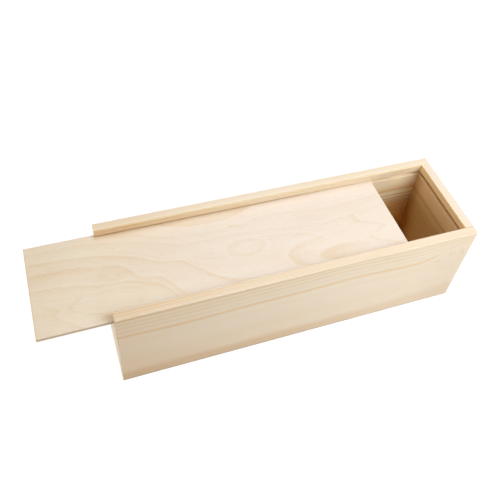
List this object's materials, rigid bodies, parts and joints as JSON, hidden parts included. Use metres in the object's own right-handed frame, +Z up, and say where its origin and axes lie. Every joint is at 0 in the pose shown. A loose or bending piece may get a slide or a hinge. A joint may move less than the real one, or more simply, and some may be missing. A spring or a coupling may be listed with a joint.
{
  "type": "sliding lid box",
  "caption": "Long pine box with a plywood lid that slides endwise in grooves near the top of its side boards, out over a lowered end board.",
  "frame": {"origin": "centre of the underside of the box body, in the plane that it stands on; the lid doesn't count", "axes": "+X along the box towards the full-height grooved end, so the lid slides out towards -X; +Y across the box; +Z up"},
  "size_m": [0.412, 0.106, 0.105],
  "materials": {
    "pine_right_side": "sanded bare pine, flat-sawn, grain along the board",
    "pine_left_side": "sanded bare pine, grain along the board",
    "pine_ends": "sanded bare pine, grain across the box",
    "plywood_floor": "sanded bare plywood",
    "plywood_lid": "sanded bare plywood with a rotary-cut face",
    "steel_pins": "bare steel wire"
  },
  "bodies": {
    "box": {"right_side_board": "pine_right_side", "left_side_board": "pine_left_side", "low_end_board": "pine_ends", "grooved_end_board": "pine_ends", "floor_panel": "plywood_floor", "end_pins": "steel_pins", "floor_pins": "steel_pins"},
    "lid": {"sliding_lid": "plywood_lid"}
  },
  "joints": [
    {"name": "lid_slide", "type": "slide", "parent": "box", "child": "lid", "axis": [-1, 0, 0], "range_m": [-0.062, 0.29]}
  ]
}
